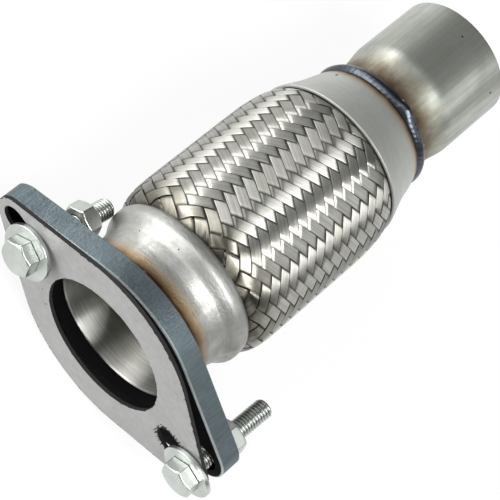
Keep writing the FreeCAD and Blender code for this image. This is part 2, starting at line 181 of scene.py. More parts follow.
# lamps: direction from the pipe's middle, width and height in m, and power in W
LAMPS = {
    "over": ((-0.186, -0.509, 0.84), (1.29, 1.66), 76),
    "far_side": ((-0.374, 0.88, 0.293), (5.34, 1.46), 109),
    "top": ((-0.27, 0.663, 0.699), (1.74, 3.1), 34),
    "low_side": ((0.503, -0.721, 0.476), (1.11, 1.27), 7.3),
}
LAMP_DISTANCE = 2.5
PIPE_MIDDLE = (0.085, 0, 0)
WORLD_LEVEL = 0.045

# floor: half its side and how far it lies under the pipe, in m
FLOOR_HALF = 4.0
FLOOR_GAP = 0.0005

# camera: where it stands, in m, and how it is turned, in the pipe's frame
LENS_MM = 144.0
SENSOR_MM = 36.0
CAMERA_PLACE = (-0.27769, 0.04382, 0.64891)
CAMERA_RIGHT = (0.682, -0.610, 0.404)
CAMERA_DOWN = (-0.568, -0.789, -0.234)


# helpers for shapes


def ease(t):
    """0 to 1 with flat ends: 3 t^2 - 2 t^3"""
    t = np.clip(t, 0, 1)
    return t * t * (3 - 2 * t)


def bump_at(x, middle, width):
    """bell curve exp(-((x - middle) / width)^2)"""
    return np.exp(-((x - middle) / width) ** 2)


def near_angle(angle, middle, width):
    """bell curve round a direction, in degrees: exp(-(turn / width)^2), the short way round"""
    turn = (np.degrees(angle) - middle + 180) % 360 - 180
    return np.exp(-(turn / width) ** 2)


def waves(x, angle, seed, pitch, most_turns=7):
    """sum of nine cosines with whole numbers of turns round the pipe and random pitches along it,
    over the root of nine"""
    draw = np.random.default_rng(seed)
    total, count = 0, 9
    for _ in range(count):
        turns = draw.integers(0, most_turns + 1)
        along = 2 * np.pi / (pitch * draw.uniform(0.6, 2.0)) * draw.choice([-1, 1])
        total = total + np.cos(turns * angle + along * x + draw.uniform(0, 2 * np.pi))
    return total / math.sqrt(count)


def grid_quads(rows, columns, wrap_rows, wrap_columns):
    """corners of every cell of a grid; point (i, j) is number i * columns + j"""
    i = np.arange(rows if wrap_rows else rows - 1)[:, None]
    j = np.arange(columns if wrap_columns else columns - 1)[None, :]
    below, right = (i + 1) % rows, (j + 1) % columns
    corners = (i * columns + j, i * columns + right, below * columns + right, below * columns + j)
    return np.stack(np.broadcast_arrays(*corners), -1).reshape(-1, 4)


def rod_quads(rows, columns):
    """cells of a tube of rings, with each end ring closed by quads from one side to the other"""
    k = np.arange(columns // 2 - 1)
    cap = np.stack([k, k + 1, columns - 2 - k, columns - 1 - k], -1)
    far_cap = cap + (rows - 1) * columns
    return np.vstack([grid_quads(rows, columns, False, True), cap[:, ::-1], far_cap])


def outward(points, quads):
    """the faces, turned round if the shell's volume, the sum of a . (b x c) over its triangles, is
    negative"""
    a, b, c, d = (points[quads[:, k]] for k in range(4))
    volume = (a * np.cross(b, c)).sum() + (a * np.cross(c, d)).sum()
    return quads[:, ::-1] if volume < 0 else quads


def make_piece(name, points, quads, material, slot, stands_for, values=None, inside=None,
               drawn=None):
    """piece from whole arrays, points in mm. values are named numbers at the points, inside is a
    second material and whether each face has it, and drawn is a pair of numbers at each point, the
    first across the drawn lines of the metal and the second along them."""
    quads = outward(points, quads)
    mesh = bpy.data.meshes.new(name)
    mesh.vertices.add(len(points))
    mesh.vertices.foreach_set("co", (points * MM).astype(np.float32).ravel())
    mesh.loops.add(quads.size)
    mesh.loops.foreach_set("vertex_index", quads.astype(np.int32).ravel())
    mesh.polygons.add(len(quads))
    mesh.polygons.foreach_set("loop_start", np.arange(0, quads.size, 4, dtype=np.int32))
    mesh.polygons.foreach_set("use_smooth", np.ones(len(quads), dtype=bool))
    for key, numbers in (values or {}).items():
        layer = mesh.attributes.new(key, 'FLOAT', 'POINT')
        layer.data.foreach_set("value", numbers.astype(np.float32).ravel())
    if drawn is not None:
        layer = mesh.uv_layers.new(name="drawn")
        layer.data.foreach_set("uv", drawn[quads].astype(np.float32).ravel())
    mesh.update(calc_edges=True)
    mesh.materials.append(material)
    if inside:
        mesh.materials.append(inside[0])
        mesh.polygons.foreach_set("material_index", inside[1].astype(np.int32))
    piece = bpy.data.objects.new(name, mesh)
    bpy.context.scene.collection.objects.link(piece)
    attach(piece, "root")
    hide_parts(stands_for)


def rounded(corners, reach, steps):
    """closed outline whose corners p become the curve a (1-t)^2 + 2 p t (1-t) + b t^2, where a and
    b lie this reach before and after the corner"""
    p = np.array(corners, float)
    before, after = np.roll(p, 1, 0) - p, np.roll(p, -1, 0) - p
    share = [np.minimum(reach / np.linalg.norm(run, axis=1), 0.48)[:, None]
             for run in (before, after)]
    a, b = p + before * share[0], p + after * share[1]
    t = np.linspace(0, 1, steps)[None, :, None]
    curve = a[:, None] * (1 - t) ** 2 + 2 * p[:, None] * t * (1 - t) + b[:, None] * t ** 2
    return curve.reshape(-1, 2)


def divided(outline, longest):
    """closed outline with points added along its runs, and none nearer than SHORTEST_RUN"""
    loop = np.vstack([outline, outline[:1]])
    run = np.concatenate([[0], np.cumsum(np.linalg.norm(np.diff(loop, axis=0), axis=1))])
    t = np.sort(np.concatenate([run[:-1], np.arange(0, run[-1], longest)]))
    t = t[np.concatenate([[True], np.diff(t) > SHORTEST_RUN])]
    return np.stack([np.interp(t, run, loop[:, k]) for k in (0, 1)], 1)


def around_axis(x, radius, angle):
    """points (x, r cos a, r sin a) in the pipe's frame, from arrays that broadcast together"""
    rows = np.broadcast_arrays(x - NECK_START, radius * np.cos(angle), radius * np.sin(angle))
    return np.stack(rows, -1)


def turned(outline, segments, relief=None):
    """surface of revolution about X, with relief(x, angle, r) added to the radius"""
    angle = np.linspace(0, 2 * np.pi, segments, endpoint=False)[None, :]
    x = outline[:, :1] + 0 * angle
    r = outline[:, 1:] + 0 * angle
    if relief:
        r = r + relief(x, angle, r)
    return around_axis(x, r, angle).reshape(-1, 3), grid_quads(len(outline), segments, True, True)


# helpers for shader nodes


def feed(tree, socket, value):
    """links another node's output to a socket, or sets a number, vector or colour on it"""
    if isinstance(value, bpy.types.NodeSocket):
        tree.links.new(value, socket)
    else:
        socket.default_value = (*value, 1) if socket.type == 'RGBA' else value


def node(tree, kind, inputs=None, **settings):
    """one node with its settings and inputs"""
    made = tree.nodes.new(kind)
    for key, value in settings.items():
        setattr(made, key, value)
    for key, value in (inputs or {}).items():
        feed(tree, made.inputs[key], value)
    return made


def maths(tree, operation, *values):
    """one operation on numbers and other nodes' outputs"""
    return node(tree, 'ShaderNodeMath', dict(enumerate(values)), operation=operation).outputs[0]


def plus(tree, a, b):
    return maths(tree, 'ADD', a, b)


def minus(tree, a, b):
    return maths(tree, 'SUBTRACT', a, b)


def times(tree, a, b):
    return maths(tree, 'MULTIPLY', a, b)


def largest(tree, first, *others):
    """the largest of several numbers"""
    for value in others:
        first = maths(tree, 'MAXIMUM', first, value)
    return first


def without_sign(tree, value):
    return maths(tree, 'ABSOLUTE', value)


def diagonal(tree, a, b):
    """sqrt(a^2 + b^2)"""
    return maths(tree, 'SQRT', plus(tree, times(tree, a, a), times(tree, b, b)))


def parts(tree, vector):
    """x, y and z of a vector"""
    return node(tree, 'ShaderNodeSeparateXYZ', {0: vector}).outputs[:]


def from_axis(tree, place):
    """distance from the pipe's axis"""
    _, y, z = parts(tree, place)
    return diagonal(tree, y, z)


def stretched(tree, vector, density):
    """each coordinate times its own density"""
    both = {0: vector, 1: density}
    return node(tree, 'ShaderNodeVectorMath', both, operation='MULTIPLY').outputs[0]


def noise(tree, vector, scale, detail, roughness=0.5, distortion=0.0):
    """cloudy noise from 0 to 1, mostly near a half"""
    return node(tree, 'ShaderNodeTexNoise', {
        0: vector, "Scale": scale, "Detail": detail, "Roughness": roughness,
        "Distortion": distortion}).outputs[0]


def ramp(tree, value, stops):
    """colour ramp; stops are (position, grey)"""
    made = node(tree, 'ShaderNodeValToRGB', {0: value})
    marks = made.color_ramp.elements
    while len(marks) < len(stops):
        marks.new(0.5)
    for mark, (place, grey) in zip(marks, stops):
        mark.position = place
        mark.color = (grey, grey, grey, 1)
    return made.outputs[0]


def blend(tree, share, first, second):
    """from the first colour at 0 to the second at 1"""
    made = node(tree, 'ShaderNodeMix', data_type='RGBA')
    for number, value in ((0, share), (6, first), (7, second)):
        feed(tree, made.inputs[number], value)
    return made.outputs[2]


def span(tree, value, low, high):
    """a number from 0..1 spread over low..high"""
    return node(tree, 'ShaderNodeMapRange', {0: value, 3: low, 4: high}).outputs[0]


def contrast(tree, value, low, high):
    """0 up to low, 1 from high, and straight between them"""
    return span(tree, ramp(tree, value, [(low, 0.0), (high, 1.0)]), 0.0, 1.0)


def between_marks(tree, value, none, full):
    """0 at one mark and 1 at the other, in mm, straight between them and held beyond"""
    return node(tree, 'ShaderNodeMapRange', {0: value, 1: none * MM, 2: full * MM}).outputs[0]


def effect(name, inputs, outputs, build):
    """shader node group with named inputs and outputs; build(tree, given) gives back the outputs
    in order"""
    tree = bpy.data.node_groups.new(name, 'ShaderNodeTree')
    for way, sockets in (('INPUT', inputs), ('OUTPUT', outputs)):
        for label, kind in sockets.items():
            tree.interface.new_socket(label, in_out=way, socket_type='NodeSocket' + kind)
    given = tree.nodes.new('NodeGroupInput')
    last = tree.nodes.new('NodeGroupOutput')
    for number, result in enumerate(build(tree, given.outputs)):
        tree.links.new(result, last.inputs[number])
    return tree


def place_group(tree, group, **inputs):
    """one of the shared effects, with this material's own values"""
    return node(tree, 'ShaderNodeGroup', inputs, node_tree=group).outputs


# effects that several materials share


def grain_nodes(tree, given):
    """fine parallel lines: noise on coordinates that are dense across the lines"""
    dense = stretched(tree, given["Vector"], given["Density"])
    lines = noise(tree, dense, scale=1.0, detail=3.0, roughness=0.6)
    return [contrast(tree, lines, 0.28, 0.72)]


def mottle_nodes(tree, given):
    """cloudy patches with soft edges"""
    patches = noise(tree, given["Vector"], given["Scale"], detail=5.0, roughness=0.62,
                    distortion=0.4)
    return [contrast(tree, patches, 0.32, 0.68)]


def speck_nodes(tree, given):
    """small spots where the nearest cell point is close, in some cells only"""
    cells = node(tree, 'ShaderNodeTexVoronoi', {"Vector": given["Vector"], "Scale": given["Scale"]})
    spot = maths(tree, 'LESS_THAN', cells.outputs["Distance"], given["Size"])
    lot = node(tree, 'ShaderNodeSeparateColor', {0: cells.outputs["Color"]}).outputs[0]
    chosen = maths(tree, 'LESS_THAN', lot, given["Share"])
    return [times(tree, spot, chosen)]


def heat_nodes(tree, given):
    """tint of heated steel by distance from a weld over its reach, from a near to a far colour,
    with uneven edges"""
    dense = stretched(tree, given["Vector"], given["Density"])
    clouds = noise(tree, dense, scale=1.0, detail=4.0, roughness=0.6)
    uneven = times(tree, minus(tree, clouds, 0.5), given["Uneven"])
    off = without_sign(tree, minus(tree, parts(tree, given["Vector"])[0], given["Weld"]))
    share = plus(tree, maths(tree, 'DIVIDE', off, given["Reach"]), uneven)
    far = ramp(tree, share, [(0.05, 0.0), (0.6, 1.0)])
    mask = ramp(tree, share, [(0.0, 1.0), (0.35, 0.8), (0.7, 0.3), (1.0, 0.0)])
    return [blend(tree, far, given["Near"], given["Far"]), times(tree, mask, given["Strength"])]


def rim_nodes(tree, given):
    """distance inside the edge of a diamond plate: a middle circle of radius R and two tip circles
    of radius r, D off it, joined by their common tangents. Along a tangent's normal the distance
    is R - y cos L - z sin L, where cos L = (R - r) / D. Beyond the points where the tangents touch
    it is the distance to one of the circles."""
    _, y, z = parts(tree, given["Vector"])
    y, z = without_sign(tree, y), without_sign(tree, z)
    middle, tip, offset = given["Middle"], given["Tip"], given["Offset"]
    cos = maths(tree, 'DIVIDE', minus(tree, middle, tip), offset)
    sin = maths(tree, 'SQRT', minus(tree, 1.0, times(tree, cos, cos)))
    across = plus(tree, times(tree, y, cos), times(tree, z, sin))
    along = minus(tree, times(tree, z, cos), times(tree, y, sin))

    def to_circle(shift, radius):
        return minus(tree, diagonal(tree, minus(tree, y, shift), z), radius)

    def pick(test, first, second):
        other = times(tree, minus(tree, 1.0, test), second)
        return plus(tree, times(tree, test, first), other)

    by_middle = maths(tree, 'GREATER_THAN', along, 0.0)
    by_tip = maths(tree, 'LESS_THAN', along, times(tree, times(tree, offset, sin), -1.0))
    edge = pick(by_tip, to_circle(offset, tip), minus(tree, across, middle))
    edge = pick(by_middle, to_circle(0.0, middle), edge)
    return [times(tree, edge, -1.0)]


GRAIN = effect("grain", {"Vector": 'Vector', "Density": 'Vector'}, {"Lines": 'Float'}, grain_nodes)
MOTTLE = effect("mottle", {"Vector": 'Vector', "Scale": 'Float'}, {"Patches": 'Float'},
                mottle_nodes)
SPECKS = effect("specks", {"Vector": 'Vector', "Scale": 'Float', "Size": 'Float', "Share": 'Float'},
                {"Spots": 'Float'}, speck_nodes)
HEAT = effect("heat_tint", {
    "Vector": 'Vector', "Density": 'Vector', "Weld": 'Float', "Reach": 'Float', "Uneven": 'Float',
    "Strength": 'Float', "Near": 'Color', "Far": 'Color'}, {"Color": 'Color', "Mask": 'Float'},
    heat_nodes)
RIM = effect("plate_rim", {"Vector": 'Vector', "Middle": 'Float', "Tip": 'Float',
                           "Offset": 'Float'}, {"Inside": 'Float'}, rim_nodes)


def heated(tree, place, colour, weld, reach, near, far, strength=1.0, density=(70, 70, 70),
           uneven=0.7):
    """colour with the tint of a weld at this place along the pipe"""
    tint, mask = place_group(tree, HEAT, Vector=place, Density=density, Uneven=uneven,
                             Weld=(weld - NECK_START) * MM, Reach=reach * MM, Strength=strength,
                             Near=near, Far=far)
    return blend(tree, mask, colour, tint)


def from_slot(tree, off_middle, z):
    """distance from the middle line of a slot, whose half length is SLOT_REACH"""
    beyond = largest(tree, minus(tree, off_middle, SLOT_REACH * MM), 0.0)
    return diagonal(tree, beyond, z)


# materials


def metal(name, dark, light, grain, roughness, patch_scale, grain_tone=0.25, patch_tone=0.5,
          bump=0.02, grit_scale=None, specks=None, speck_colour=(0.03, 0.03, 0.03), metallic=1.0,
          finish=None):
    """worn steel. Its tone, (patch_tone patches + grain_tone lines) / (patch_tone + grain_tone),
    goes from dark and rough to light and smooth. grain is the density of the lines along X, Y and
    Z, specks are (scale, size, share), and bump is in mm. finish(tree, place, colour, rough) adds
    what one piece alone has."""
    material = bpy.data.materials.new(name)
    material.use_nodes = True
    tree = material.node_tree
    shader = tree.nodes["Principled BSDF"]
    place = tree.nodes.new('ShaderNodeTexCoord').outputs["Object"]
    lines = place_group(tree, GRAIN, Vector=place, Density=grain)[0]
    patches = place_group(tree, MOTTLE, Vector=place, Scale=patch_scale)[0]
    tone = plus(tree, times(tree, patches, patch_tone), times(tree, lines, grain_tone))
    tone = maths(tree, 'DIVIDE', tone, patch_tone + grain_tone)
    colour = blend(tree, tone, dark, light)
    smooth, coarse = roughness
    rough = span(tree, tone, coarse, smooth)
    if specks:
        scale, size, share = specks
        spots = place_group(tree, SPECKS, Vector=place, Scale=scale, Size=size, Share=share)[0]
        colour = blend(tree, spots, colour, speck_colour)
        rough = plus(tree, rough, times(tree, spots, 0.25))
    if finish:
        colour, rough = finish(tree, place, colour, rough)
    height = plus(tree, lines, times(tree, patches, 0.6))
    if grit_scale:
        grit = noise(tree, place, grit_scale, detail=4.0)
        height = plus(tree, height, times(tree, grit, 2.0))
    raised = {"Height": height, "Distance": bump * MM, "Strength": 1.0}
    feed(tree, shader.inputs["Base Color"], colour)
    feed(tree, shader.inputs["Roughness"], rough)
    feed(tree, shader.inputs["Normal"], node(tree, 'ShaderNodeBump', raised).outputs[0])
    feed(tree, shader.inputs["Metallic"], metallic)
    return material


def flange_finish(tree, place, colour, rough):
    """painted shade, very dark, on the front face, bore wall and slot walls; a bright front edge
    that is partly wear and partly a painted highlight
    """
    x, y, z = parts(tree, place)
    from_edge = place_group(tree, RIM, Vector=place, **FLANGE_OUTLINE)[0]
    inside = between_marks(tree, from_edge, 0.5, 0.9)
    front = between_marks(tree, x, 0.35 - NECK_START, 0.15 - NECK_START)
    bore = between_marks(tree, from_axis(tree, place), NECK_RADIUS + 0.8, NECK_RADIUS + 0.4)
    off_middle = without_sign(tree, minus(tree, without_sign(tree, y), SLOT_MIDDLE * MM))
    slot = between_marks(tree, from_slot(tree, off_middle, z), SLOT_HALF + 0.6, SLOT_HALF + 0.2)
    # painted shade: the front face under the gasket, the bore wall and the slot walls made very
    # dark
    flange_painted_shade = largest(tree, times(tree, front, inside), bore, slot)
    # bright front edge: partly wear and partly a painted highlight
    near_front = between_marks(tree, x, 0.9 - NECK_START, 0.3 - NECK_START)
    worn = times(tree, near_front, minus(tree, 1.0, inside))
    colour = blend(tree, times(tree, worn, 0.8), colour, (0.62, 0.66, 0.67))
    colour = blend(tree, flange_painted_shade, colour, (0.012, 0.012, 0.013))
    return colour, plus(tree, rough, times(tree, flange_painted_shade, 0.35))


def gasket_finish(tree, place, colour, rough):
    """cut edges darkened, partly their own colour and partly painted shade; chips along the outline
    and the bore, and scratches round the free slot
    """
    lean = math.radians(GASKET_LEAN)
    face = {0: node(tree, 'ShaderNodeNewGeometry').outputs["Normal"],
            1: (math.cos(lean), -math.sin(lean), 0.0)}
    facing = node(tree, 'ShaderNodeVectorMath', face, operation='DOT_PRODUCT').outputs["Value"]
    # cut edges: faces turned away from the front, dark partly from their own colour and partly as
    # painted shade
    cut = maths(tree, 'LESS_THAN', without_sign(tree, facing), 0.7)
    turned_back = node(tree, 'ShaderNodeMapping', {
        0: place, "Rotation": (math.radians(-GASKET_TURN), 0, 0)}).outputs[0]
    chips = noise(tree, place, scale=420.0, detail=3.0)

    def chipped(distance, fall, limit):
        """where the noise less fall times the distance from an edge, in m, is over the limit"""
        return maths(tree, 'GREATER_THAN', minus(tree, chips, times(tree, distance, fall)), limit)

    from_edge = place_group(tree, RIM, Vector=turned_back, **GASKET_OUTLINE)[0]
    from_bore = minus(tree, from_axis(tree, place), GASKET_BORE * MM)
    _, y, z = parts(tree, turned_back)
    off_middle = without_sign(tree, plus(tree, y, SLOT_MIDDLE * MM))
    from_wall = minus(tree, from_slot(tree, off_middle, z), SLOT_HALF * MM)
    streaks = place_group(tree, GRAIN, Vector=place, Density=(300, 1500, 250))[0]
    streaks = times(tree, between_marks(tree, from_wall, 4.5, 0.0), streaks)
    scratched = maths(tree, 'GREATER_THAN', streaks, 0.42)
    dark = largest(tree, cut, chipped(from_edge, 260.0, 0.53), chipped(from_bore, 420.0, 0.55),
                   scratched)
    colour = blend(tree, times(tree, dark, 0.95), colour, (0.012, 0.012, 0.012))
    return colour, plus(tree, rough, times(tree, dark, 0.35))


def inlet_finish(tree, place, colour, rough):
    """heat tint behind the flange"""
    tinted = heated(tree, place, colour, weld=14.0, reach=6.6, near=(0.035, 0.013, 0.004),
                    far=(0.34, 0.20, 0.055), density=(70, 60, 60), uneven=0.45)
    return tinted, rough


def bore_finish(tree, place, colour, rough):
    """olive tint deeper in"""
    deep = between_marks(tree, parts(tree, place)[0], 6.0, 20.0)
    return blend(tree, times(tree, deep, 0.6), colour, (0.40, 0.38, 0.25)), rough


def collar_finish(tree, place, colour, rough):
    """ochre edge beside the weld"""
    tinted = heated(tree, place, colour, weld=136.0, reach=4.6, near=(0.07, 0.035, 0.014),
                    far=(0.40, 0.28, 0.13), density=(60, 130, 130), uneven=0.6)
    return tinted, rough


def tube_finish(tree, place, colour, rough):
    """brown and duller towards the weld"""
    tinted = heated(tree, place, colour, weld=141.0, reach=15.5, near=(0.08, 0.045, 0.022),
                    far=(0.20, 0.16, 0.09), density=(90, 130, 130), uneven=0.9)
    scaled = between_marks(tree, parts(tree, place)[0], 154.0 - NECK_START, 147.0 - NECK_START)
    return tinted, plus(tree, rough, times(tree, scaled, 0.16))


def plating_finish(tree, place, colour, rough):
    """painted shade where the points say so: under the head, in the threads and in the bores"""
    dark = node(tree, 'ShaderNodeAttribute', attribute_name="dark").outputs["Fac"]
    return blend(tree, times(tree, dark, 0.9), colour, (0.03, 0.03, 0.028)), rough


STEEL_FLANGE = metal(
    "blue_grey_plate", dark=(0.075, 0.10, 0.11), light=(0.185, 0.225, 0.24),
    grain=(160, 1900, 1900), roughness=(0.4, 0.55), grain_tone=0.5, patch_scale=45, bump=0.05,
    grit_scale=900, finish=flange_finish)
SHEET_GASKET = metal(
    "gasket_sheet", dark=(0.33, 0.33, 0.325), light=(0.42, 0.42, 0.415), grain=(350, 350, 350),
    roughness=(0.5, 0.6), patch_scale=70, patch_tone=0.2, bump=0.03, specks=(260, 0.10, 0.06),
    metallic=0.6, finish=gasket_finish)
PLATED = metal(
    "bright_plating", dark=(0.48, 0.51, 0.48), light=(0.66, 0.69, 0.655), grain=(300, 300, 300),
    roughness=(0.3, 0.4), patch_scale=90, bump=0.008, specks=(500, 0.13, 0.05),
    speck_colour=(0.25, 0.26, 0.22), finish=plating_finish)
SHEET_INLET = metal(
    "inlet_sheet", dark=(0.285, 0.285, 0.265), light=(0.46, 0.465, 0.445), grain=(900, 200, 200),
    roughness=(0.42, 0.56), patch_scale=130, patch_tone=0.7, bump=0.04, grit_scale=1300,
    specks=(420, 0.13, 0.06), finish=inlet_finish)
SHEET_COLLAR = metal(
    "collar_sheet", dark=(0.40, 0.41, 0.385), light=(0.52, 0.53, 0.505), grain=(700, 130, 130),
    roughness=(0.5, 0.6), patch_scale=55, bump=0.012, specks=(150, 0.09, 0.08), metallic=0.8,
    finish=collar_finish)
TUBE = metal(
    "drawn_tube", dark=(0.27, 0.285, 0.245), light=(0.52, 0.535, 0.495), grain=(22, 620, 620),
    roughness=(0.32, 0.43), grain_tone=0.7, patch_scale=50, patch_tone=0.6, bump=0.012,
    specks=(170, 0.09, 0.06), metallic=0.88, finish=tube_finish)
BRUSHED_BORE = metal(
    "brushed_bore", dark=(0.38, 0.37, 0.33), light=(0.86, 0.86, 0.83), grain=(2200, 60, 60),
    roughness=(0.38, 0.48), grain_tone=0.7, patch_scale=40, bump=0.01, finish=bore_finish)
LINING = metal(
    "lining_sheet", dark=(0.30, 0.30, 0.285), light=(0.60, 0.60, 0.57), grain=(1500, 30, 30),
    roughness=(0.24, 0.38), grain_tone=0.6, patch_scale=40)
WELD_DARK = metal(
    "outlet_weld", dark=(0.03, 0.034, 0.042), light=(0.13, 0.145, 0.17), grain=(150, 150, 150),
    roughness=(0.26, 0.42), patch_scale=120, bump=0.04, specks=(420, 0.2, 0.10),
    speck_colour=(0.75, 0.76, 0.74))
WELD_BROWN = metal(
    "inlet_weld", dark=(0.10, 0.07, 0.05), light=(0.30, 0.24, 0.18), grain=(250, 250, 250),
    roughness=(0.3, 0.5), patch_scale=160, bump=0.08, grit_scale=600)


def brush_round(material):
    """lines that run round the axis, so that highlights spread along it"""
    tree = material.node_tree
    shader = tree.nodes["Principled BSDF"]
    around = node(tree, 'ShaderNodeTangent', direction_type='RADIAL', axis='X').outputs[0]
    feed(tree, shader.inputs["Tangent"], around)
    shader.inputs["Anisotropic"].default_value = 1.0
    shader.inputs["Anisotropic Rotation"].default_value = 0.25


def braid_material():
    """bright drawn wire; each wire has its own tone. Painted shade where a strip dives under, at
    the sleeve's ends and edges and at a slant; heat tint and painted shade near the inlet cap"""
    material = bpy.data.materials.new("braid_wire")
    material.use_nodes = True
    tree = material.node_tree
    shader = tree.nodes["Principled BSDF"]
    place = tree.nodes.new('ShaderNodeTexCoord').outputs["Object"]
    tone = node(tree, 'ShaderNodeAttribute', attribute_name="tone").outputs["Fac"]
    strip_painted_shade = node(tree, 'ShaderNodeAttribute', attribute_name="strip_painted_shade").outputs["Fac"]
    patches = place_group(tree, MOTTLE, Vector=place, Scale=160.0)[0]
    share = plus(tree, times(tree, tone, 0.8), times(tree, patches, 0.2))
    # painted shade at a slant: the colour darkens towards grazing view, holding down reflections at
    # the sleeve's sides
    slant = node(tree, 'ShaderNodeLayerWeight', {"Blend": 0.5}).outputs["Facing"]
    slant_painted_shade = ramp(tree, slant, [(0.1, 0.0), (0.55, 0.55)])
    colour = blend(tree, share, (0.47, 0.465, 0.42), (0.84, 0.835, 0.79))
    # heat tint near the inlet cap, with painted shade where the sleeve comes out from under the
    # bead
    colour = heated(tree, place, colour, weld=37.0, reach=15.0, near=(0.13, 0.105, 0.065),
                    far=(0.38, 0.35, 0.27), strength=0.75)
    colour = blend(tree, slant_painted_shade, colour, (0.12, 0.118, 0.10))
    # painted shade where a strip dives under, at the sleeve's ends and along strip edges
    colour = blend(tree, times(tree, strip_painted_shade, 0.9), colour, (0.06, 0.057, 0.045))
    across = node(tree, 'ShaderNodeTangent', direction_type='UV_MAP', uv_map="drawn").outputs[0]
    feed(tree, shader.inputs["Base Color"], colour)
    feed(tree, shader.inputs["Roughness"], span(tree, share, 0.39, 0.34))
    feed(tree, shader.inputs["Tangent"], across)
    shader.inputs["Anisotropic"].default_value = 0.92
    shader.inputs["Metallic"].default_value = 1.0
    return material


brush_round(BRUSHED_BORE)
BRAID = braid_material()


# woven sleeve


def ring_place(u):
    """place along X of ring u; rings lie 1 + spread (e^(-k/n) + e^((k-last)/n)) apart, scaled to
    fit between the weave's start and end, and three more rings go on at each end"""
    k = np.arange(WEAVE_RINGS)
    last = WEAVE_RINGS - 1
    near_ends = np.exp(-k / END_SPREAD_RINGS) + np.exp((k - last) / END_SPREAD_RINGS)
    steps = 1 + END_SPREAD * near_ends
    steps *= (WEAVE_END - WEAVE_START) / steps.sum()
    places = WEAVE_START + np.concatenate([[-3 * steps[0], 0], np.cumsum(steps), [0]])
    places[-1] = places[-2] + 3 * steps[-1]
    marks = np.concatenate([[-3], np.arange(WEAVE_RINGS + 1), [WEAVE_RINGS + 3]])
    return np.interp(u, marks, places)


def sleeve_radius(x):
    """outside of the sleeve, the mean of the profile a little before, at and after x"""
    places, heights = np.array(SLEEVE_PROFILE).T
    shifts = (-SLEEVE_SMOOTHING, 0.0, 0.0, SLEEVE_SMOOTHING)
    near = [np.interp(x + shift, places, heights) for shift in shifts]
    return NECK_RADIUS + sum(near) / len(shifts)


def strip_wave(q):
    """over two and under two: a cosine of period 4 with flattened crests"""
    return np.tanh(4.5 * np.cos(np.pi * q / 2)) / math.tanh(4.5)


def strip_stations(lean):
    """places a along a strip, closer together where the strips dive, at lean / 2 and every second
    ring from there: a - crowd sin(pi (a - lean / 2)) / pi"""
    a = np.linspace(-STRIP_TUCK, WEAVE_RINGS + STRIP_TUCK, STRIP_STEPS)[None, :, None]
    return a - STRIP_CROWD / np.pi * np.sin(np.pi * (a - lean / 2))


def strip_section():
    """columns across a strip: a foot and two shoulders for each wire, then the far foot and three
    points on the back. Gives each one's place from -1/2 to 1/2, its height, which falls by
    edge_fall |2 place|^7, and its wire."""
    wires = np.arange(STRIP_WIRES)
    across = (wires[:, None] + (0.0, *WIRE_SHOULDERS)).ravel() / STRIP_WIRES - 0.5
    across = np.concatenate([across, [0.5, 0.5, 0.0, -0.5]])
    front = np.tile([0.0, 1.0, 1.0], STRIP_WIRES) * WIRE_RELIEF
    height = np.concatenate([front, [0.0], np.full(3, -STRIP_BACK)])
    wire = np.concatenate([np.repeat(wires, 3), np.full(4, STRIP_WIRES - 1)])
    return across, height - STRIP_EDGE_FALL * np.abs(2 * across) ** 7, wire


def drift(draw, a, count, size, pitch):
    """slow random change along each of count strips: size (sin(r a + p) + sin(s a + q))"""
    phase = draw.uniform(0, 2 * np.pi, (2, count, 1, 1))
    rate = 2 * np.pi / (pitch * draw.uniform(0.7, 1.6, (2, count, 1, 1)))
    return size * (np.sin(rate[0] * a + phase[0]) + np.sin(rate[1] * a + phase[1]))


def near_weave_ends(a):
    """about 1 a ring and a half from either end of the weave, and e times less every 2.5 rings"""
    return np.exp(-np.abs(a - 1.5) / 2.5) + np.exp(-np.abs(WEAVE_RINGS - 1.5 - a) / 2.5)


def strip_shade(x, rise, across):
    """how much painted shade a point gets, from 0 to 1: where its strip is below 0.85 of its rise
    and dives under, at the sleeve's ends, and, at 0.75, along the outer 7% of a strip"""
    dive = ease((0.85 - rise / STRIP_RISE) / 0.45)
    first, last = SLEEVE_SHOWS
    ends = np.maximum(ease((first - x) / 1.2), ease((x - last) / 1.2))
    edges = 0.75 * ease((np.abs(2 * across) - 0.93) / 0.07)
    return np.maximum(np.maximum(dive, ends), edges)


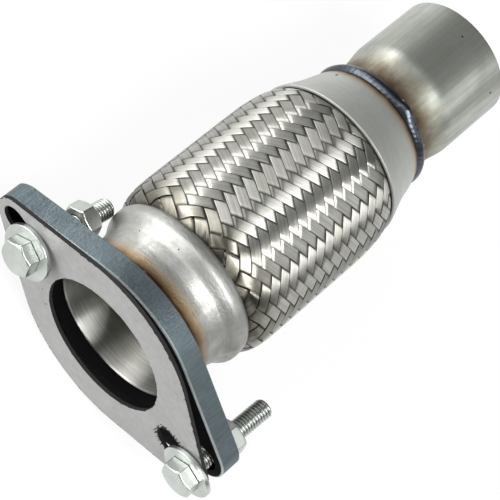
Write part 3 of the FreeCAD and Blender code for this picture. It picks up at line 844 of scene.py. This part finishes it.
def make_strips(lean, strips, name):
    """flat strips of wires. Along a strip u = a + b and v = c + lean (a - b), with a along, b
    across and c the strip's own odd number. Ring u gives the place along X, the angle is v half
    turns of the weave, and the radius is the sleeve's + lean rise wave(c + lean a - 1/2) + the
    section's height. Strips are narrower and wander more near the sleeve's ends. A wire's tone is
    0.65 of its own draw and 0.35 of its strip's."""
    draw = np.random.default_rng(71 + lean + 10 * int(strips[0]))
    count = len(strips)
    across, height, wire = strip_section()
    a = strip_stations(lean)
    c = (2 * strips + 1)[:, None, None]
    ends = near_weave_ends(a)
    width = STRIP_WIDTH * (1 - 0.10 * ends) * (1 + drift(draw, a, count, size=0.006, pitch=6))
    b = across * width + drift(draw, a, count, size=0.008, pitch=8)
    b = b + drift(draw, a, count, size=0.02, pitch=3.0) * ends
    x = ring_place(a + b)
    rise = lean * STRIP_RISE * strip_wave(c + lean * a - 0.5)
    wire_height = draw.normal(0, 0.004, (count, 1, STRIP_WIRES))[:, :, wire]
    r = sleeve_radius(x) - STRIP_DEPTH + rise + height + wire_height
    r = r + drift(draw, a, count, size=0.008, pitch=6)
    angle = np.radians(WEAVE_PHASE + (c + lean * (a - b)) * 180.0 / STRIPS_EACH_WAY)
    points = around_axis(x, r, angle)
    wire_tone = draw.uniform(0, 1, (count, 1, STRIP_WIRES))[:, :, wire]
    tone = 0.65 * wire_tone + 0.35 * draw.uniform(0, 1, (count, 1, 1))
    # painted shade for the material: where strips dive, at the sleeve's ends and along strip edges
    values = {"tone": np.broadcast_to(tone, x.shape), "strip_painted_shade": strip_shade(x, rise, across)}
    drawn = np.stack(np.broadcast_arrays(across, 0.3 * (a - STRIP_SKEW * b)), -1)
    first_point = np.arange(count) * STRIP_STEPS * len(across)
    quads = rod_quads(STRIP_STEPS, len(across)) + first_point[:, None, None]
    make_piece(name, points.reshape(-1, 3), quads.reshape(-1, 4), BRAID, "braid_wire",
               "outer_braid", values=values, drawn=drawn.reshape(-1, 2))


for number, lean in enumerate((-1, -1, 1, 1)):
    first = (number % 2) * STRIPS_A_PIECE
    strips = np.arange(first, first + STRIPS_A_PIECE)
    make_strips(lean, strips, "woven_strips_%d" % (number + 1))


# turned pieces


def make_inlet_cap():
    """straight neck, flare, round bead and its turned-in rim, with faint dents; inside, the neck
    and the flare are brushed"""
    profile = np.add(CAP_PROFILE, (0, NECK_RADIUS))
    outline = divided(rounded(profile, reach=1.1, steps=6), longest=1.0)

    def dents(x, angle, r):
        free = ease((x - 10) / 6) * ease((CAP_END - x) / 3)
        return CAP_DENT * waves(x, angle, seed=5, pitch=22) * free

    points, quads = turned(outline, CAP_SEGMENTS, dents)
    row = outline[quads[:, 0] // CAP_SEGMENTS]
    brushed = (row[:, 1] < NECK_RADIUS - 0.8) & (row[:, 0] < 31)
    make_piece("inlet_cap_shell", points, quads, SHEET_INLET, "stainless_sheet", "inlet_cap",
               inside=(BRUSHED_BORE, brushed))


def make_inlet_weld():
    """fillet bead with fine ripples and one larger tack, which is longer along the pipe too"""
    base, leg, back = NECK_RADIUS, FILLET_LEG, FLANGE_BACK
    corners = [(back, base - 0.05), (back, base + leg), (back + 0.75 * leg, base + 0.75 * leg),
               (back + leg, base), (back + 0.5 * leg, base - 0.05)]
    outline = divided(rounded(corners, reach=0.35, steps=5), longest=0.3)

    def at_tack(angle):
        return near_angle(angle, TACK_ANGLE, TACK_WIDTH)

    def relief(x, angle, r):
        bend = 3 * (x - back) + 0.6 * waves(0, angle, seed=3, pitch=9)
        ripple = 0.10 * np.cos(FILLET_RIPPLES * angle + bend)
        uneven = 0.12 * waves(0 * x, angle, seed=8, pitch=30, most_turns=12)
        return ease((r - base) / 0.8) * (ripple + TACK_HEIGHT * at_tack(angle) + uneven)

    points, quads = turned(outline, FILLET_SEGMENTS, relief)
    stretch = 1 + TACK_STRETCH * at_tack(np.arctan2(points[:, 2], points[:, 1]))
    start = back - NECK_START
    points[:, 0] = start + (points[:, 0] - start) * stretch
    make_piece("inlet_fillet", points, quads, WELD_BROWN, "weld_metal", "inlet_weld")


def make_collar():
    """drawn collar from its open lip down to the tube; its inner face lies one wall along the
    profile's normal"""
    outer = np.array(COLLAR_PROFILE)
    slope = np.gradient(outer, axis=0)
    slope /= np.linalg.norm(slope, axis=1)[:, None]
    inner = outer + COLLAR_WALL * slope[:, ::-1] * (1, -1)
    bends = np.full(len(outer) - 2, 2.2)
    reach = np.r_[0.35, bends, 0.3, 0.3, bends, 0.35]
    outline = divided(rounded(np.vstack([outer, inner[::-1]]), reach, steps=5), longest=1.0)

    def swell(x, angle, r):
        return 0.05 * waves(x, angle, seed=12, pitch=30)

    make_piece("collar_shell", *turned(outline, COLLAR_SEGMENTS, swell), SHEET_COLLAR,
               "stainless_sheet", "outlet_collar")


def make_tube():
    """plain tube: short neck, slow cone and straight end, with faint lines drawn along it"""
    outer = np.array([(TUBE_START, TUBE_NECK), (CONE_START, TUBE_NECK), (CONE_END, TUBE_RADIUS),
                      (TUBE_END, TUBE_RADIUS)])
    inner = outer[::-1] - (0, TUBE_WALL)
    reach = np.array([0.3, 5.5, 1.8, 0.3, 0.3, 4.5, 5.5, 0.3])
    outline = divided(rounded(np.vstack([outer, inner]), reach, steps=7), longest=1.4)

    def relief(x, angle, r):
        lines = 0.008 * np.cos(TUBE_LINES * angle + waves(x, angle, seed=4, pitch=50))
        return 0.025 * waves(x, angle, seed=15, pitch=40) + lines

    make_piece("tube_end", *turned(outline, TUBE_SEGMENTS, relief), TUBE, "tube_steel",
               "outlet_tube")


def make_outlet_weld():
    """bead over the joint with ripples, uneven edges, and a lap and a swell where it stops"""
    outline = divided(rounded(BEAD_PROFILE, reach=0.7, steps=4), longest=0.4)

    def relief(x, angle, r):
        bend = 1.1 * np.abs(x - BEAD_CREST) + 0.8 * waves(0, angle, seed=21, pitch=9)
        lap = LAP_HEIGHT * near_angle(angle, LAP_ANGLE, 8) * bump_at(x, LAP_PLACE, 3.0)
        swell = SWELL_HEIGHT * near_angle(angle, SWELL_ANGLE, 34)
        ripple = 0.035 * np.cos(BEAD_RIPPLES * angle + bend)
        uneven = 0.16 * waves(0 * x, angle, seed=22, pitch=30, most_turns=9)
        return ease((r - 23.7) / 0.9) * (ripple + (lap + swell) + uneven)

    make_piece("outlet_bead", *turned(outline, BEAD_SEGMENTS, relief), WELD_DARK, "weld_metal",
               "outlet_weld")


def lining_face(radius, mouth, cuff, offsets, step):
    """one face of the lining: its mouth, a step out and in again on every turn, and its cuff"""
    middles = LINING_START + LINING_PITCH * (np.arange(LINING_TURNS)[:, None] + 0.5)
    turns = np.broadcast_arrays(middles + offsets, radius + np.array([0, step, step, 0]))
    return np.vstack([[(30.8, mouth), (34.0, mouth), (LINING_START, radius)],
                      np.stack(turns, -1).reshape(-1, 2),
                      [(123.0, radius), (124.0, cuff), (128.0, cuff)]])


def make_lining():
    """thin wall between two faces whose steps lie over each other"""
    outer = lining_face(LINING_OUTSIDE, 29.1, 26.7, [-2.0, -1.5, 1.0, 1.5], 0.7)
    inner = lining_face(LINING_INSIDE, 27.9, 25.5, [-1.2, -0.8, 0.2, 0.6], 0.5)
    corners = np.vstack([outer, inner[::-1]])
    outline = divided(rounded(corners, reach=0.35, steps=2), longest=2.5)
    make_piece("lining_turns", *turned(outline, LINING_SEGMENTS), LINING, "stainless_sheet",
               "inner_liner")


make_inlet_cap()
make_inlet_weld()
make_collar()
make_tube()
make_outlet_weld()
make_lining()


# bolts, washers and nuts


def on_bolt(bolt, run, radius, start):
    """from (run, radius, angle) about the bolt's own axis to the pipe's frame"""
    line = Vector((1.0, *bolt["slope"])).normalized()
    turn = np.array(Vector((1, 0, 0)).rotation_difference(line).to_matrix())
    round_axis = radius * np.cos(BOLT_ANGLES), radius * np.sin(BOLT_ANGLES)
    local = np.stack(np.broadcast_arrays(run + start, *round_axis), -1)
    origin = np.array(bolt["place"]) - (NECK_START, 0, 0)
    return (local @ turn.T + origin).reshape(-1, 3)


def soft_least(a, b, width):
    """the smaller of two numbers, rounded where they are near each other"""
    near = np.clip(0.5 + 0.5 * (b - a) / width, 0, 1)
    return b * (1 - near) + a * near - width * near * (1 - near)


def hex_radius(run):
    """hexagon, half / cos(angle from the middle of its side), cut by a cone of 30 degrees that
    starts at run = 0"""
    side = (np.degrees(BOLT_ANGLES) - HEX_TURN) % 60 - 30
    cone = HEX_HALF - HEX_BEVEL + run / BEVEL_SLOPE
    return soft_least(HEX_HALF / np.cos(np.radians(side)), cone, HEX_ROUNDING)


def bolt_head():
    """rows (run, radius) of the head, from its flat top to the soft edge under it"""
    run = np.linspace(0, HEAD_HEIGHT - HEAD_EDGE, HEAD_ROWS)[:, None]
    side = hex_radius(run)
    top = np.array([[0.5], [0.9], [1.0]]) * (hex_radius(np.zeros((1, 1))) - 0.05)
    under = side[-1:] - np.array([[0.1], [0.35]])
    run = np.vstack([np.zeros((3, 1)), run, [[HEAD_HEIGHT - 0.08], [HEAD_HEIGHT]]])
    return run, np.vstack([top, side, under])


def bolt_shank():
    """rows (run, radius) of the shank, whose radius falls by a cosine groove once every pitch,
    with a bevel at its end; both ends of the thread fade"""
    run = np.arange(0, BOLT_LENGTH + 0.001, THREAD_PITCH / 8)[:, None]
    turns = run / THREAD_PITCH - BOLT_ANGLES / (2 * np.pi)
    groove = (0.5 - 0.5 * np.cos(2 * np.pi * turns)) ** 0.8
    fade = ease(run / 1.5) * ease((BOLT_LENGTH - run + 1.2) / 1.5)
    radius = BOLT_RADIUS - 0.03 - THREAD_DEPTH * groove * fade
    radius = np.minimum(radius, BOLT_RADIUS - 0.8 + (BOLT_LENGTH - run) * 0.9)
    flat_end = np.array([[0.6], [0.2]]) * radius[-1:]
    return np.vstack([run + 0.01, np.full((2, 1), BOLT_LENGTH)]), np.vstack([radius, flat_end])


def make_bolt(bolt, number):
    """head and shank in one skin, with painted shade in the grooves and under the head"""
    head_run, head_radius = bolt_head()
    shank_run, shank_radius = bolt_shank()
    run = np.vstack([head_run, shank_run + HEAD_HEIGHT])
    radius = np.vstack([head_radius, shank_radius])
    points = on_bolt(bolt, run, radius, bolt["washer"] - WASHER_THICKNESS - HEAD_HEIGHT)
    # painted shade in the thread grooves and in a line under the head
    root = ease((BOLT_RADIUS - 0.15 - radius) / (0.8 * THREAD_DEPTH)) * (run > HEAD_HEIGHT)
    dark = np.clip(0.75 * root + bump_at(run, HEAD_HEIGHT, 0.16), 0, 1)
    name = "bolt_%d" % number
    make_piece(name, points, rod_quads(len(run), BOLT_ANGLES.size), PLATED, "plated_steel",
               "flange_" + name, values={"dark": dark})


def ring_on_bolt(bolt, outline, radius, start, name):
    """closed ring: outline rows of (run, base radius), and radius(run, base); its bore has painted
    shade
    """
    run, base = outline[:, :1], outline[:, 1:]
    points = on_bolt(bolt, run, radius(run, base), start)
    quads = grid_quads(len(outline), BOLT_ANGLES.size, True, True)
    # painted shade in the bore
    dark = ease((5.0 - base) / 0.8) + 0 * BOLT_ANGLES
    make_piece(name, points, quads, PLATED, "plated_steel", "flange_" + name,
               values={"dark": dark})


def make_nut(bolt, number):
    """bevelled hexagon round a bore with a countersink at each end; the outline's rim is drawn in
    to the hexagon"""
    corners = [(0, 4.6), (0, NUT_RIM), (NUT_HEIGHT, NUT_RIM), (NUT_HEIGHT, 4.6),
               (NUT_HEIGHT - 0.5, NUT_BORE), (0.5, NUT_BORE)]
    outline = divided(rounded(corners, reach=0.15, steps=4), longest=0.3)

    def radius(run, base):
        far_cone = HEX_HALF - HEX_BEVEL + (NUT_HEIGHT - run) / BEVEL_SLOPE
        limit = soft_least(hex_radius(run), far_cone, HEX_ROUNDING)
        return NUT_BORE + (base - NUT_BORE) * (limit - NUT_BORE) / (NUT_RIM - NUT_BORE)

    ring_on_bolt(bolt, outline, radius, bolt["nut"], "nut_%d" % number)


def make_washer(bolt, number):
    """flat ring with a soft outer edge"""
    corners = [(0, WASHER_BORE), (0, WASHER_RADIUS), (WASHER_THICKNESS, WASHER_RADIUS),
               (WASHER_THICKNESS, WASHER_BORE)]
    outline = divided(rounded(corners, reach=0.45, steps=6), longest=1.0)

    def radius(run, base):
        return base + 0 * BOLT_ANGLES

    ring_on_bolt(bolt, outline, radius, bolt["washer"] - WASHER_THICKNESS, "washer_%d" % number)


for number, bolt in enumerate(BOLTS, start=1):
    make_bolt(bolt, number)
    make_nut(bolt, number)
    make_washer(bolt, number)


# pieces kept from the solids


def dress(node_name, material):
    """a solid that is shown as it is, with a material of its own"""
    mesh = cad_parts[node_name].data
    mesh.materials.clear()
    mesh.materials.append(material)


dress("inlet_flange", STEEL_FLANGE)
dress("gasket", SHEET_GASKET)
dress("bellows", LINING)


# floor, light and camera


def floor_material():
    """white that keeps a faint shadow: mostly its own light where the camera, a mirror or glass
    sees it, and plain elsewhere"""
    material = bpy.data.materials.new("floor_white")
    material.use_nodes = True
    tree = material.node_tree
    tree.nodes.remove(tree.nodes["Principled BSDF"])
    path = tree.nodes.new('ShaderNodeLightPath').outputs
    seen = largest(tree, path["Is Camera Ray"], path["Is Glossy Ray"], path["Is Transmission Ray"])
    plain = node(tree, 'ShaderNodeBsdfDiffuse', {0: (0.8, 0.8, 0.8)}).outputs[0]
    glow = node(tree, 'ShaderNodeEmission', {0: (1, 1, 1), 1: 1.0}).outputs[0]
    white = node(tree, 'ShaderNodeMixShader', {0: 0.88, 1: plain, 2: glow}).outputs[0]
    both = node(tree, 'ShaderNodeMixShader', {0: seen, 1: plain, 2: white}).outputs[0]
    tree.links.new(both, tree.nodes["Material Output"].inputs[0])
    return material


def make_floor():
    """square just under the pipe's lowest point"""
    low, half = cad_box[0][2] - FLOOR_GAP, FLOOR_HALF
    corners = [(-half, -half, low), (half, -half, low), (half, half, low), (-half, half, low)]
    mesh = bpy.data.meshes.new("floor")
    mesh.from_pydata(corners, [], [(0, 1, 2, 3)])
    mesh.materials.append(floor_material())
    floor = bpy.data.objects.new("floor", mesh)
    bpy.context.scene.collection.objects.link(floor)


def make_lamp(name, direction, size, power):
    """flat lamp in this direction from the pipe's middle, facing it"""
    data = bpy.data.lights.new(name, 'AREA')
    data.shape = 'RECTANGLE'
    data.size, data.size_y = size
    data.energy = power
    lamp = bpy.data.objects.new(name, data)
    away = Vector(direction).normalized()
    lamp.location = Vector(PIPE_MIDDLE) + away * LAMP_DISTANCE
    lamp.rotation_euler = (-away).to_track_quat('-Z', 'Y').to_euler()
    bpy.context.scene.collection.objects.link(lamp)


def make_world():
    """faint even light from all sides"""
    world = bpy.data.worlds.new("studio")
    bpy.context.scene.world = world
    world.use_nodes = True
    world.node_tree.nodes["Background"].inputs[0].default_value = (*[WORLD_LEVEL] * 3, 1)


def place_camera():
    """looks along the cross product of its right and down directions"""
    right = Vector(CAMERA_RIGHT).normalized()
    down = Vector(CAMERA_DOWN)
    down = (down - right * down.dot(right)).normalized()
    ahead = right.cross(down)
    data = bpy.data.cameras.new("camera")
    data.sensor_width = SENSOR_MM
    data.lens = LENS_MM
    data.clip_start = 0.01
    camera = bpy.data.objects.new("camera", data)
    bpy.context.scene.collection.objects.link(camera)
    turn = Matrix((right, -down, -ahead)).transposed().to_4x4()
    turn.translation = Vector(CAMERA_PLACE)
    camera.matrix_world = turn
    bpy.context.scene.camera = camera


make_floor()
for name, (direction, size, power) in LAMPS.items():
    make_lamp(name, direction, size, power)
make_world()
place_camera()
bpy.context.scene.view_settings.view_transform = 'Standard'
